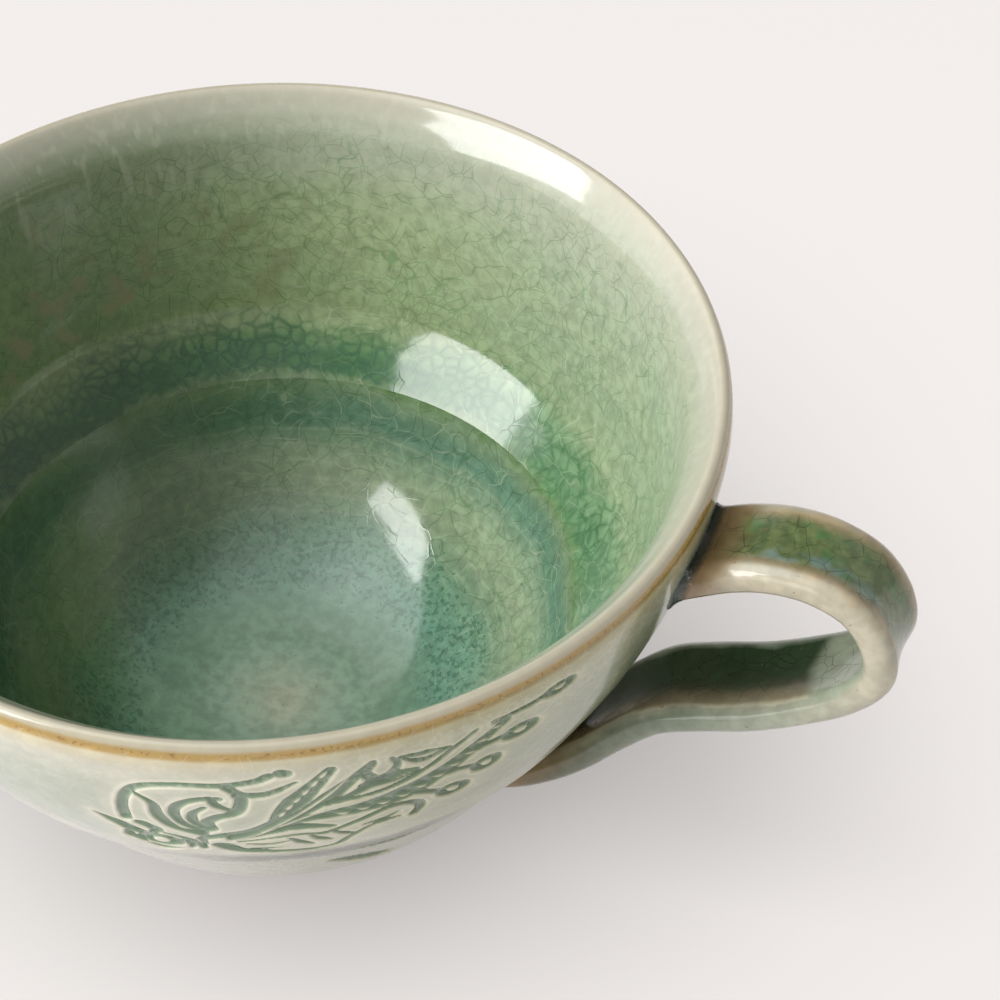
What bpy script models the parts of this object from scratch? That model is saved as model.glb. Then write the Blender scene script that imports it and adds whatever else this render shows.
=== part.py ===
"""A handled celadon teacup: a thrown bowl on a turned foot ring, with a pulled strap handle
that is luted on at two joints. Metres, +Z up. The handle points along +X, and the origin is
on the table under the middle of the whole cup."""

import math

import bmesh
import bpy
from mathutils import Vector

MM = 0.001
GAP = 0.3 * MM  # kept between neighbouring solids

RIM_RADIUS = 50.0 * MM
HANDLE_REACH = 71.8 * MM  # from the cup's axis to the back of the handle
AXIS_X = (RIM_RADIUS - HANDLE_REACH) / 2  # the cup's axis, so that the origin is central
TURNED_STEPS = 60  # facets round a turned piece

# The bowl's outer side, as radius and height in mm, from the lip down to the ridge.
LIP_TOP = (48.9, 63.0)
OUTER_WALL = [(49.8, 62.2), (50.0, 60.0), (49.5, 56.5), (48.6, 52.5), (47.2, 47.5), (45.4, 42.5), (43.1, 37.4)]
RIDGE = (42.2, 35.5)
BELLY = [(41.0, 34.2), (38.5, 29.6), (35.9, 25.0), (33.1, 20.0), (30.7, 16.2), (27.8, 12.6), (24.0, 8.9)]
UNDERSIDE = (20.5, 6.0)

# The bowl's inner side, from the middle of the floor up to the lip.
FLOOR_HEIGHT = 8.6
WELL = [
    (8.8, 9.0), (12.7, 9.7), (15.95, 10.7), (18.8, 12.1), (21.35, 13.75),
    (23.7, 15.6), (25.95, 17.6), (28.0, 19.75), (30.0, 22.25), (31.8, 24.9),
]
LEDGE = (34.3, 29.2)
SHELF = [(36.3, 31.2), (38.3, 33.3), (40.2, 35.7)]  # where the glaze pools
INNER_WALL = [
    (41.3, 38.5), (42.3, 41.8), (43.5, 47.5), (44.5, 53.5), (45.3, 58.0), (46.3, 60.0), (48.2, 62.4),
]

# The foot ring: its outer side from the top down, then its inner side from the bottom up.
FOOT_HEIGHT = UNDERSIDE[1] - GAP / MM
FOOT_OUTER = [(20.3, FOOT_HEIGHT), (19.5, 0.9), (18.7, 0.0)]
FOOT_INNER = [(16.8, 0.0), (16.1, 0.8), (15.7, FOOT_HEIGHT)]

# The handle's middle line, as distance from the cup's axis and height in mm, from the upper
# joint to the lower one.
HANDLE_LINE = [
    (43.5, 51.0),
    (50.0, 54.8),
    (54.0, 57.0),
    (58.0, 58.2),
    (62.3, 58.1),
    (66.5, 56.2),
    (69.2, 52.2),
    (69.7, 47.6),
    (67.0, 43.4),
    (62.3, 39.7),
    (57.0, 36.4),
    (51.6, 34.0),
    (46.9, 31.4),
    (42.7, 26.8),
    (38.9, 22.0),
    (35.0, 18.2),
    (30.4, 15.2),
    (23.0, 12.6),
]
STRAP_WIDTHS = [(0.0, 13.0), (0.12, 11.4), (0.3, 10.7), (0.5, 11.7), (0.7, 12.2), (0.85, 13.2), (1.0, 14.6)]
STRAP_THICKNESS = 4.0
CHANNEL_DEPTH = 0.55  # of the hollow along each face of the strap
CHANNEL_SHARE = 0.72  # of the strap's width
SECTION_STEPS = 24
HANDLE_STEPS = 40

# A joint's bead of slip hugs the strap from JOINT_ROOT inside the wall to JOINT_LENGTH outside it.
JOINT_ROOT = 3.0
JOINT_LENGTH = 1.9
JOINT_SWELL = 1.9  # how far the bead stands out from the strap at its root
JOINT_EDGE = 0.6  # and at its outer edge
JOINT_STEPS = 6


# ---------------------------------------------------------------- shapes from points


def smooth_line(points, steps):
    """Points on a Catmull-Rom curve through these, with this many steps between each two."""
    ends = [Vector(points[0]) * 2 - Vector(points[1])]
    ends += [Vector(p) for p in points]
    ends.append(Vector(points[-1]) * 2 - Vector(points[-2]))
    line = []
    for a, b, c, d in zip(ends, ends[1:], ends[2:], ends[3:]):
        for step in range(steps):
            t = step / steps
            line.append(
                b
                + (c - a) * t / 2
                + (a * 2 - b * 5 + c * 4 - d) * t**2 / 2
                + (b * 3 - c * 3 + d - a) * t**3 / 2
            )
    line.append(ends[-2])
    return line


def resample(line, count):
    """This many points at equal distances along a line."""
    lengths = [0.0]
    for a, b in zip(line, line[1:]):
        lengths.append(lengths[-1] + (b - a).length)
    spread, k = [], 0
    for index in range(count):
        wanted = lengths[-1] * index / (count - 1)
        while k < len(line) - 2 and lengths[k + 1] < wanted:
            k += 1
        share = (wanted - lengths[k]) / (lengths[k + 1] - lengths[k])
        spread.append(line[k].lerp(line[k + 1], share))
    return spread


def new_object(name, mesh, collection):
    obj = bpy.data.objects.new(name, mesh)
    collection.objects.link(obj)
    return obj


def turned(name, profile, collection, closed=False):
    """A solid turned round the cup's axis from a profile of radii and heights in mm."""
    mesh = bpy.data.meshes.new(name)
    edges = [(i, i + 1) for i in range(len(profile) - 1)]
    if closed:
        edges.append((len(profile) - 1, 0))
    mesh.from_pydata([(r * MM, 0, z * MM) for r, z in profile], edges, [])
    obj = new_object(name, mesh, collection)
    obj.location.x = AXIS_X
    screw = obj.modifiers.new("turned", "SCREW")
    screw.steps = TURNED_STEPS
    screw.render_steps = TURNED_STEPS
    screw.use_merge_vertices = True
    screw.merge_threshold = 0.01 * MM
    return obj


def lofted(name, rings, collection):
    """A closed solid through rings of equal numbers of points, with a flat face at each end."""
    shape = bmesh.new()
    loops = [[shape.verts.new(point) for point in ring] for ring in rings]
    count = len(loops[0])
    for first, second in zip(loops, loops[1:]):
        for i in range(count):
            j = (i + 1) % count
            shape.faces.new((first[i], first[j], second[j], second[i]))
    shape.faces.new(loops[0])
    shape.faces.new(loops[-1])
    bmesh.ops.recalc_face_normals(shape, faces=shape.faces)
    mesh = bpy.data.meshes.new(name)
    shape.to_mesh(mesh)
    shape.free()
    obj = new_object(name, mesh, collection)
    obj.location.x = AXIS_X
    return obj


def cut(obj, cutter):
    boolean = obj.modifiers.new("cut by " + cutter.name, "BOOLEAN")
    boolean.operation = "DIFFERENCE"
    boolean.solver = "EXACT"
    boolean.object = cutter


def make_cutter(obj):
    obj.hide_render = True
    obj.display_type = "WIRE"
    return obj


def glazed(obj, name, colour, roughness):
    material = bpy.data.materials.new(name)
    material.use_nodes = True
    shader = material.node_tree.nodes["Principled BSDF"]
    shader.inputs["Base Color"].default_value = (*colour, 1)
    shader.inputs["Roughness"].default_value = roughness
    shader.inputs["Metallic"].default_value = 0
    obj.data.materials.append(material)
    obj.data.shade_smooth()
    obj.data.set_sharp_from_angle(angle=math.radians(40))


# ---------------------------------------------------------------- the handle's strap


def strap_half_thickness(across, thickness, channel):
    """Half the strap's thickness at a place across it, from 0 in the middle to 1 at an edge."""
    rounded = max(0.0, 1 - across**6) ** 0.5
    hollow = channel * math.cos(min(across / CHANNEL_SHARE, 1) * math.pi / 2) ** 0.8
    return rounded * thickness / 2 - hollow


def strap_section(width, thickness, channel):
    """Offsets round the strap, as (across it, out from its middle line), in mm."""
    half = SECTION_STEPS // 2
    side = []
    for step in range(half):
        across = -math.cos(math.pi * step / half)
        side.append((across, strap_half_thickness(abs(across), thickness, channel)))
    back = [(-across, -out) for across, out in side]
    return [(across * width / 2, out) for across, out in side + back]


def handle_line():
    return resample(smooth_line(HANDLE_LINE, 12), 10 * HANDLE_STEPS + 1)


def place_along(line, share):
    """The place at a share of a line of evenly spaced points, and the line's direction there."""
    index = round(share * (len(line) - 1))
    before, after = line[max(index - 1, 0)], line[min(index + 1, len(line) - 1)]
    return line[index], (after - before).normalized()


def strap_width(share):
    """The strap's width at a share of its line: it widens towards each joint."""
    widths = smooth_line(STRAP_WIDTHS, 8)
    return min(widths, key=lambda place: abs(place.x - share)).y


def strap_ring(line, share, grow=0.0):
    """The strap's section at a share of the handle's line, made larger all round by grow."""
    place, along = place_along(line, share)
    outwards = Vector((-along.y, along.x))
    section = strap_section(strap_width(share) + 2 * grow, STRAP_THICKNESS + 2 * grow, CHANNEL_DEPTH)
    ring = []
    for across, out in section:
        point = place + outwards * out
        ring.append(Vector((point.x, -across, point.y)) * MM)
    return ring


def strap_rings(grow=0.0):
    line = handle_line()
    return [strap_ring(line, index / HANDLE_STEPS, grow) for index in range(HANDLE_STEPS + 1)]


def wall_radius(height):
    """The bowl's outer radius at a height, both in mm."""
    wall = outer_profile()
    for above, below in zip(wall, wall[1:]):
        if below.y <= height <= above.y:
            return below.lerp(above, (height - below.y) / (above.y - below.y)).x
    return 0.0


def shares_at_wall(line):
    """The shares of the line at which it comes out of the bowl's wall and goes back into it."""
    outside = []
    for index, place in enumerate(line):
        if place.x > wall_radius(place.y):
            outside.append(index / (len(line) - 1))
    return outside[0], outside[-1]


def joint_rings(line, at_wall, away):
    """Rings of a joint's bead, from its root in the wall to its outer edge. away is 1 where the
    line's shares grow away from the wall, and -1 where they grow towards it."""
    length = sum((b - a).length for a, b in zip(line, line[1:]))
    root = at_wall - away * JOINT_ROOT / length
    edge = at_wall + away * JOINT_LENGTH / length
    rings = []
    for index in range(JOINT_STEPS + 1):
        share = index / JOINT_STEPS
        swell = JOINT_EDGE + (JOINT_SWELL - JOINT_EDGE) * (1 - share) ** 2
        rings.append(strap_ring(line, root + (edge - root) * share, swell))
    return rings


# ---------------------------------------------------------------- the sub-parts


def outer_profile():
    wall = smooth_line([LIP_TOP, *OUTER_WALL, RIDGE], 2)
    belly = smooth_line([RIDGE, *BELLY, UNDERSIDE], 1)
    return wall + belly[1:]


def inner_profile():
    well = smooth_line([(0, FLOOR_HEIGHT), *WELL, LEDGE], 1)
    wall = smooth_line([LEDGE, *SHELF, *INNER_WALL, LIP_TOP], 2)
    return well + wall[1:]


def make_bowl(collection):
    profile = inner_profile() + outer_profile()[1:] + [(0, UNDERSIDE[1])]
    bowl = turned("cup_bowl", profile, collection)
    glazed(bowl, "celadon_glaze", (0.35, 0.43, 0.31), 0.12)


def make_foot_ring(collection):
    foot = turned("foot_ring", FOOT_OUTER + FOOT_INNER, collection, closed=True)
    glazed(foot, "fired_clay", (0.52, 0.36, 0.19), 0.75)


def make_wall_cutter(collection):
    """The space that the handle and its joints leave to the bowl: its outside, grown by the gap."""
    outline = [Vector(point) for point in outer_profile()]
    grown = []
    for index, point in enumerate(outline):
        along = outline[min(index + 1, len(outline) - 1)] - outline[max(index - 1, 0)]
        outwards = Vector((-along.y, along.x)).normalized()
        grown.append(point + outwards * GAP / MM)
    top, bottom = grown[0].y, grown[-1].y
    profile = [(0, top), *grown, (0, bottom)]
    return make_cutter(turned("wall_cutter", profile, collection))


def make_handle(collection, wall):
    handle = lofted("handle", strap_rings(), collection)
    cut(handle, wall)
    glazed(handle, "handle_glaze", (0.25, 0.29, 0.18), 0.14)


def make_strap_cutter(collection):
    return make_cutter(lofted("strap_cutter", strap_rings(GAP / MM), collection))


def make_joint(name, rings, collection, wall, strap):
    joint = lofted(name, rings, collection)
    cut(joint, wall)
    cut(joint, strap)
    glazed(joint, "pooled_glaze", (0.03, 0.08, 0.06), 0.08)


def make_joints(collection, wall, strap):
    line = handle_line()
    upper, lower = shares_at_wall(line)
    make_joint("upper_handle_joint", joint_rings(line, upper, 1), collection, wall, strap)
    make_joint("lower_handle_joint", joint_rings(line, lower, -1), collection, wall, strap)


def clear_scene():
    for obj in list(bpy.data.objects):
        bpy.data.objects.remove(obj, do_unlink=True)


def new_collection(name):
    collection = bpy.data.collections.new(name)
    bpy.context.scene.collection.children.link(collection)
    return collection


def main():
    clear_scene()
    cup = new_collection("teacup")
    cutters = new_collection("cutters")
    wall = make_wall_cutter(cutters)
    strap = make_strap_cutter(cutters)
    make_bowl(cup)
    make_foot_ring(cup)
    make_handle(cup, wall)
    make_joints(cup, wall, strap)


main()
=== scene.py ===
"""The looks of a handled celadon teacup: a thrown bowl with a carved spray, a pooled glaze inside,
a pulled strap handle with a hollow along each face, and a bare clay foot ring. The cup's sizes come
from the frame or from the profiles below, which are in mm from the cup's axis and the table."""

import math

import bmesh
import bpy
import numpy as np
from mathutils import Euler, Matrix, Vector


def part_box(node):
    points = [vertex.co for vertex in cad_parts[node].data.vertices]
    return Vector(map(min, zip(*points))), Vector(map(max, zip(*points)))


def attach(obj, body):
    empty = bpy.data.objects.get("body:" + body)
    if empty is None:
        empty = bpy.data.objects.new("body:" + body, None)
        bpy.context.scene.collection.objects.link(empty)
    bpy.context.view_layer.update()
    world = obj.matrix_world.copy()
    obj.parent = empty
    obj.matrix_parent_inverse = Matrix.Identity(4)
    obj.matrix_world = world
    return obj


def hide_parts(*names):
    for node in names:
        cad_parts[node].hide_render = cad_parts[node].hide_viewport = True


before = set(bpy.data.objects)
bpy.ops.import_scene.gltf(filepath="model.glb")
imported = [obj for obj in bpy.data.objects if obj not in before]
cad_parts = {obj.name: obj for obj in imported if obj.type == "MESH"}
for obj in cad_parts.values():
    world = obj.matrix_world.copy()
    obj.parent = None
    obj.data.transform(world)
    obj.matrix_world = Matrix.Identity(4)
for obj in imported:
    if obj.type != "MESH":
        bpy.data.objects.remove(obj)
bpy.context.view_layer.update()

MM = 0.001
bowl_low, bowl_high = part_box("cup_bowl")
AXIS_X = (bowl_low.x + bowl_high.x) / 2 / MM  # the cup's axis, in mm
RIM_HEIGHT = bowl_high.z / MM

# ---------------------------------------------------------------- profiles, as radius and height

# OUTER_WALL and BELLY began as places on curves that a helper script fitted to the photo, and WELL as
# places that another one summed from slopes chosen by hand. This is a fault.

BROWN_LINE = (49.85, 61.9)  # where the glaze breaks to iron brown, just under the lip
LIP = [(49.5, 62.7), (48.9, RIM_HEIGHT), (48.2, 62.4), (47.3, 61.25), (46.3, 60.0)]
INNER_WALL = [(45.3, 58.0), (44.5, 53.5), (43.5, 47.5), (42.3, 41.8), (41.3, 38.5)]
SHELF = [(40.2, 35.7), (38.3, 33.3), (36.3, 31.2)]
LEDGE = (34.3, 29.2)
WELL = [
    (31.8, 24.9), (30.0, 22.25), (28.0, 19.75), (25.95, 17.6), (23.7, 15.6),
    (21.35, 13.75), (18.8, 12.1), (15.95, 10.7), (12.7, 9.7), (8.8, 9.0),
]
FLOOR_CENTRE = (0.0, 8.6)
OUTER_WALL = [(50.0, 60.0), (49.5, 56.5), (48.6, 52.5), (47.2, 47.5), (45.4, 42.5), (43.1, 37.4)]
RIDGE = (42.2, 35.5)
BELLY = [(41.0, 34.2), (38.5, 29.6), (35.9, 25.0), (33.1, 20.0), (30.7, 16.2), (27.8, 12.6), (24.0, 8.9)]
UNDERSIDE = [(20.5, 6.0), (16.0, 6.0), (9.0, 6.6)]
UNDERSIDE_CENTRE = (0.0, 6.9)
FOOT = [
    (20.6, 6.3), (20.1, 4.6), (19.6, 1.4), (19.1, 0.3), (18.5, 0.0),
    (17.2, 0.0), (16.6, 0.3), (16.2, 1.2), (15.8, 6.3),
]

# The handle's middle line and its strap, as in the CAD model.
HANDLE_LINE = [
    (43.5, 51.0), (50.0, 54.8), (54.0, 57.0), (58.0, 58.2), (62.3, 58.1), (66.5, 56.2),
    (69.2, 52.2), (69.7, 47.6), (67.0, 43.4), (62.3, 39.7), (57.0, 36.4), (51.6, 34.0),
    (46.9, 31.4), (42.7, 26.8), (38.9, 22.0), (35.0, 18.2), (30.4, 15.2), (23.0, 12.6),
]
STRAP_WIDTHS = [(0.0, 13.0), (0.12, 11.4), (0.3, 10.7), (0.5, 11.7), (0.7, 12.2), (0.85, 13.2), (1.0, 14.6)]
STRAP_THICKNESS = 4.0
CHANNEL_DEPTH = 0.55

# ---------------------------------------------------------------- the carved spray

# TO BE REPLACED before this model is used. The layout in CUTS, RING_BUDS, RIBS and OVAL_ROWS was read off
# the photo's own carving, a bird-like figure, and only its head and eye were left out. It is not a generic
# spray, and that is a fault. The groups below are named after what each one looks like.

SPRAY_LEFT = -86.0  # degrees round the cup from the handle, where the spray begins
SPRAY_SCALE = 0.803  # mm along the wall for each degree
CARVED = (-91.0, -22.0)  # degrees of wall that hold the spray

# Each cut is a line of places in mm, right from the spray's left end and down from the brown line,
# and half its width at its start, middle and end.
CUTS = [
    # the outer stem and its curled fan of fronds
    (
        [
            (3.5, 14.4), (3.8, 10.6), (4.8, 7.3), (6.4, 5.5),
            (9.6, 4.7), (13.6, 4.6), (16.5, 3.9), (17.6, 3.1),
        ],
        (0.55, 0.4, 0.5),
    ),
    ([(18.7, 2.8), (19.0, 2.9)], (0.65, 0.7, 0.6)),
    ([(10.6, 17.2), (8.0, 15.3), (6.9, 12.2), (6.8, 9.4), (5.5, 7.4)], (0.5, 0.65, 0.2)),
    ([(10.8, 16.4), (9.1, 14.2), (8.5, 11.6), (9.2, 9.2), (11.0, 7.7), (12.9, 7.4)], (0.4, 0.5, 0.4)),
    ([(11.2, 15.7), (10.1, 13.4), (10.3, 11.2), (11.5, 9.5)], (0.4, 0.5, 0.2)),
    (
        [(11.6, 15.2), (11.4, 13.4), (12.5, 11.9), (14.1, 10.9), (14.8, 9.0), (14.9, 6.7), (13.7, 4.8)],
        (0.6, 0.6, 0.5),
    ),
    ([(12.1, 7.2), (12.7, 9.0), (14.2, 10.6)], (0.3, 0.45, 0.3)),
    ([(14.9, 6.7), (17.2, 6.6), (19.9, 4.7)], (0.7, 0.45, 0.15)),
    # the stalk and the first leaf
    ([(10.2, 20.9), (10.4, 18.6), (12.6, 17.3), (15.4, 15.9), (17.8, 13.4)], (0.35, 0.8, 0.6)),
    ([(17.4, 14.4), (18.7, 10.9), (20.9, 6.8), (22.9, 3.2)], (0.5, 1.25, 0.5)),
    ([(18.8, 13.6), (21.9, 9.9), (24.6, 6.1), (26.6, 3.3)], (0.5, 1.0, 0.3)),
    # the long frond
    (
        [(17.6, 14.1), (22.0, 13.2), (26.4, 12.8), (30.2, 11.6), (33.6, 9.3), (36.8, 6.2), (39.2, 4.0)],
        (0.5, 1.7, 0.5),
    ),
    ([(23.0, 10.4), (27.4, 9.7), (31.0, 8.0), (33.8, 5.4), (36.2, 3.4)], (0.3, 0.4, 0.2)),
    ([(38.0, 3.3), (41.5, 3.4), (43.4, 3.3)], (0.3, 0.3, 0.35)),
    ([(35.8, 7.3), (37.8, 7.2), (39.6, 7.2)], (0.7, 0.4, 0.4)),
    ([(33.6, 10.2), (35.4, 10.6), (36.9, 11.2)], (0.7, 0.4, 0.4)),
    ([(30.6, 12.2), (32.2, 13.4), (33.8, 14.5)], (0.7, 0.4, 0.4)),
    # the bud cluster
    ([(22.6, 10.5), (24.6, 9.3), (26.6, 7.7)], (0.4, 0.5, 0.7)),
    ([(26.2, 7.7), (28.0, 7.2), (30.4, 7.1)], (0.8, 1.3, 0.6)),
    ([(26.9, 6.9), (26.0, 5.2), (26.8, 3.6)], (0.6, 0.5, 0.15)),
    ([(28.2, 6.4), (28.9, 4.8), (28.3, 3.3)], (0.5, 0.35, 0.15)),
    ([(29.2, 3.7), (31.3, 4.7), (33.6, 4.6)], (0.3, 1.05, 0.2)),
    # the small dark leaf and the broad leaf under it
    ([(13.2, 18.4), (15.6, 16.9), (18.2, 15.4), (20.6, 15.6), (23.0, 16.6)], (0.5, 1.25, 0.4)),
    (
        [
            (14.0, 19.4), (17.0, 18.5), (19.8, 17.9), (22.4, 18.4), (25.4, 16.5),
            (28.4, 14.6), (30.8, 14.9), (31.8, 16.8), (31.3, 18.8),
        ],
        (0.25, 0.45, 0.5),
    ),
    (
        [
            (12.2, 21.0), (13.2, 22.6), (15.0, 23.6), (19.6, 24.5),
            (23.4, 24.1), (25.0, 21.5), (27.0, 19.0), (29.6, 18.2),
        ],
        (1.2, 0.5, 0.3),
    ),
    ([(14.8, 20.3), (16.8, 20.6), (18.7, 19.9)], (0.3, 0.4, 0.15)),
    ([(15.0, 22.3), (16.9, 22.4), (18.5, 22.3)], (0.3, 0.4, 0.15)),
    ([(18.9, 19.0), (19.9, 20.7), (21.2, 22.2)], (0.2, 0.5, 0.2)),
    ([(21.0, 19.0), (22.0, 20.4), (23.1, 21.4)], (0.2, 0.5, 0.2)),
    ([(23.3, 18.6), (24.2, 19.6), (25.2, 20.4)], (0.2, 0.45, 0.2)),
    ([(26.2, 18.0), (28.2, 17.6), (29.4, 16.6)], (0.15, 0.5, 0.2)),
    # the open blossom's petals
    ([(3.7, 18.2), (2.2, 16.4), (0.3, 14.5)], (1.1, 0.9, 0.1)),
    ([(2.6, 19.0), (3.0, 21.0), (3.7, 22.6)], (0.2, 1.0, 0.3)),
    ([(4.2, 23.0), (5.6, 24.0), (7.4, 23.6)], (0.3, 0.8, 0.2)),
    ([(4.9, 15.4), (6.0, 16.8), (5.4, 18.2)], (0.8, 0.7, 0.3)),
    ([(6.6, 17.6), (8.2, 18.6), (9.6, 20.3), (10.0, 22.8)], (0.2, 0.7, 0.3)),
    ([(8.0, 19.8), (8.9, 21.2), (8.6, 22.8)], (0.2, 0.5, 0.2)),
]
# Ring buds, each a lens cut with an island: its middle, half its length and width, and its tilt.
RING_BUDS = [
    ((45.0, 3.4), (1.9, 0.95), 4),
    ((41.2, 7.7), (2.1, 1.4), 14),
    ((38.1, 11.8), (1.7, 1.5), 30),
    ((35.0, 15.2), (1.9, 1.5), 28),
    ((5.9, 20.6), (2.3, 2.2), 0),
]
# Lands are left standing in the cuts: the leaves' ribs, and rows of small ovals.
RIBS = [
    ([(16.2, 16.6), (19.8, 12.3), (23.0, 7.8), (25.6, 3.2)], 0.24),
    (
        [
            (12.0, 19.6), (15.4, 17.6), (18.2, 14.9), (22.0, 12.2), (26.0, 11.1),
            (30.0, 9.4), (33.4, 6.6), (36.2, 4.2), (39.4, 2.9),
        ],
        0.24,
    ),
    ([(6.2, 17.2), (8.0, 17.6), (9.6, 19.0), (9.9, 20.6)], 0.2),
    ([(30.0, 4.3), (31.5, 4.7), (32.8, 4.6)], 0.25),
    ([(28.4, 8.0), (29.6, 7.6), (30.6, 7.2)], 0.14),
]
OVAL_ROWS = [
    ([(18.4, 11.8), (20.0, 8.4), (22.3, 4.0)], 6, (0.85, 0.26), -62),
    ([(24.0, 13.6), (29.2, 12.8), (33.0, 10.4), (36.0, 7.6), (38.3, 4.6)], 10, (0.75, 0.24), 12),
]
# Leaf cuts in the belly under the spray: middle as degrees and mm down from the ridge, half sizes, tilt.
BELLY_LEAVES = [((-46.5, 4.6), (4.2, 1.35), -2), ((-51.0, 13.6), (5.0, 1.5), 38)]

CUT_DEPTH = 0.34
BURR = 0.05  # the clay that the knife leaves standing at a cut's edge
CUT_WIDENING = 0.1


# ---------------------------------------------------------------- curves


def smooth_line(points, steps=12):
    """Places on a Catmull-Rom curve through these."""
    p = np.array(points, float)
    p = np.vstack([2 * p[0] - p[1], p, 2 * p[-1] - p[-2]])
    t = (np.arange(steps) / steps)[:, None]
    line = []
    for a, b, c, d in zip(p, p[1:], p[2:], p[3:]):
        square = (2 * a - 5 * b + 4 * c - d) * t**2 / 2
        cube = (3 * b - a - 3 * c + d) * t**3 / 2
        line.append(b + (c - a) * t / 2 + square + cube)
    return np.vstack([*line, p[-2]])


def lengths(line):
    """How far each place on a line is from its start."""
    return np.concatenate([[0.0], np.cumsum(np.linalg.norm(np.diff(line, axis=0), axis=1))])


def spread(line, gap):
    """Places about this far apart along a line."""
    run = lengths(line)
    wanted = np.linspace(0, run[-1], max(2, round(run[-1] / gap) + 1))
    return np.stack([np.interp(wanted, run, line[:, k]) for k in range(line.shape[1])], 1)


def ease(x, low, high):
    """0 below low, 1 above high, and smooth between them."""
    t = np.clip((x - low) / (high - low), 0, 1)
    return t * t * (3 - 2 * t)


def waves(points, size, seed, count=14):
    """Smooth noise from -1 to 1 at these places, about this large from bump to bump."""
    draw = np.random.default_rng(seed)
    total = np.zeros(points.shape[:-1])
    for _ in range(count):
        way = draw.normal(size=3)
        way *= 2 * math.pi / size / np.linalg.norm(way) * draw.uniform(0.6, 1.2)
        total += np.sin(points @ way + draw.uniform(0, 2 * math.pi))
    return total / math.sqrt(count) / 1.5


# ---------------------------------------------------------------- carving, as distances


def distance_to_line(x, y, points, widths):
    """How far each place lies outside a line whose half width runs through three values."""
    line = spread(smooth_line(points), 0.3)
    share = np.linspace(0, 1, len(line))
    half = np.interp(share, (0, 0.5, 1), widths)
    nearest = np.full(x.shape, 1e3)
    margin = max(widths) + 1.5
    near = (x > line[:, 0].min() - margin) & (x < line[:, 0].max() + margin)
    near &= (y > line[:, 1].min() - margin) & (y < line[:, 1].max() + margin)
    px, py = x[near], y[near]
    found = np.full(px.shape, 1e3)
    for a, b, wa, wb in zip(line, line[1:], half, half[1:]):
        step = b - a
        t = np.clip(((px - a[0]) * step[0] + (py - a[1]) * step[1]) / (step @ step), 0, 1)
        gap = np.hypot(px - a[0] - t * step[0], py - a[1] - t * step[1])
        found = np.minimum(found, gap - (wa + (wb - wa) * t))
    nearest[near] = found
    return nearest


def distance_to_oval(x, y, middle, half, tilt):
    """Roughly how far each place lies outside an oval."""
    turn = math.radians(tilt)
    u = (x - middle[0]) * math.cos(turn) + (y - middle[1]) * math.sin(turn)
    v = (y - middle[1]) * math.cos(turn) - (x - middle[0]) * math.sin(turn)
    reach = np.hypot(u / half[0], v / half[1])
    return (reach - 1) * min(half)


def relief(outside, islands):
    """Height of the clay, and how deep the glaze pools, from distances to the cuts and the lands."""
    floor = np.minimum(-outside, islands) + CUT_WIDENING
    cut = ease(floor, -0.12, 0.3)
    burr = np.exp(-(((floor + 0.22) / 0.2) ** 2))
    pool = 0.7 * ease(floor, -0.08, 0.2) + 0.3 * ease(floor, 0.3, 1.1)
    land = np.exp(-np.maximum(outside, 0) / 1.4)
    return BURR * burr - CUT_DEPTH * cut, {"pool": pool, "burr": burr, "land": land}


def spray_relief(degrees, down):
    """The carved spray's height and pooling at places on the wall."""
    x = (degrees - SPRAY_LEFT) * SPRAY_SCALE
    outside = np.full(x.shape, 1e3)
    islands = np.full(x.shape, 1e3)
    for points, widths in CUTS:
        outside = np.minimum(outside, distance_to_line(x, down, points, widths))
    for middle, half, tilt in RING_BUDS:
        outside = np.minimum(outside, distance_to_oval(x, down, middle, half, tilt))
        islands = np.minimum(islands, distance_to_oval(x, down, middle, (half[0] * 0.42, half[1] * 0.4), tilt))
    for points, half in RIBS:
        islands = np.minimum(islands, distance_to_line(x, down, points, (half * 0.6, half, half * 0.6)))
    for points, count, half, tilt in OVAL_ROWS:
        row = smooth_line(points)
        for middle in spread(row, lengths(row)[-1] / (count - 1)):
            islands = np.minimum(islands, distance_to_oval(x, down, middle, half, tilt))
    return relief(outside, islands)


# ---------------------------------------------------------------- meshes


def grid_faces(rows, columns, wrapped, looped=False):
    """Quads over a grid of places: round each row if wrapped, and from the last row to the first if looped."""
    down = np.arange(rows if looped else rows - 1)
    around = np.arange(columns if wrapped else columns - 1)
    i, j = np.meshgrid(down, around, indexing="ij")
    below, right = (i + 1) % rows, (j + 1) % columns
    quads = [i * columns + j, i * columns + right, below * columns + right, below * columns + j]
    return np.stack(quads, -1).reshape(-1, 4).tolist()


def merge_poles(points, faces):
    """Rows that shrink to one place on the axis become one point, and their quads triangles."""
    _, first, index = np.unique(np.round(points, 4), axis=0, return_index=True, return_inverse=True)
    index = first[index.reshape(-1)]
    kept = np.unique(index)
    place = np.zeros(len(points), int)
    place[kept] = np.arange(len(kept))
    merged = [list(dict.fromkeys(place[index[face]].tolist())) for face in faces]
    return kept, [face for face in merged if len(face) > 2]


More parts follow.
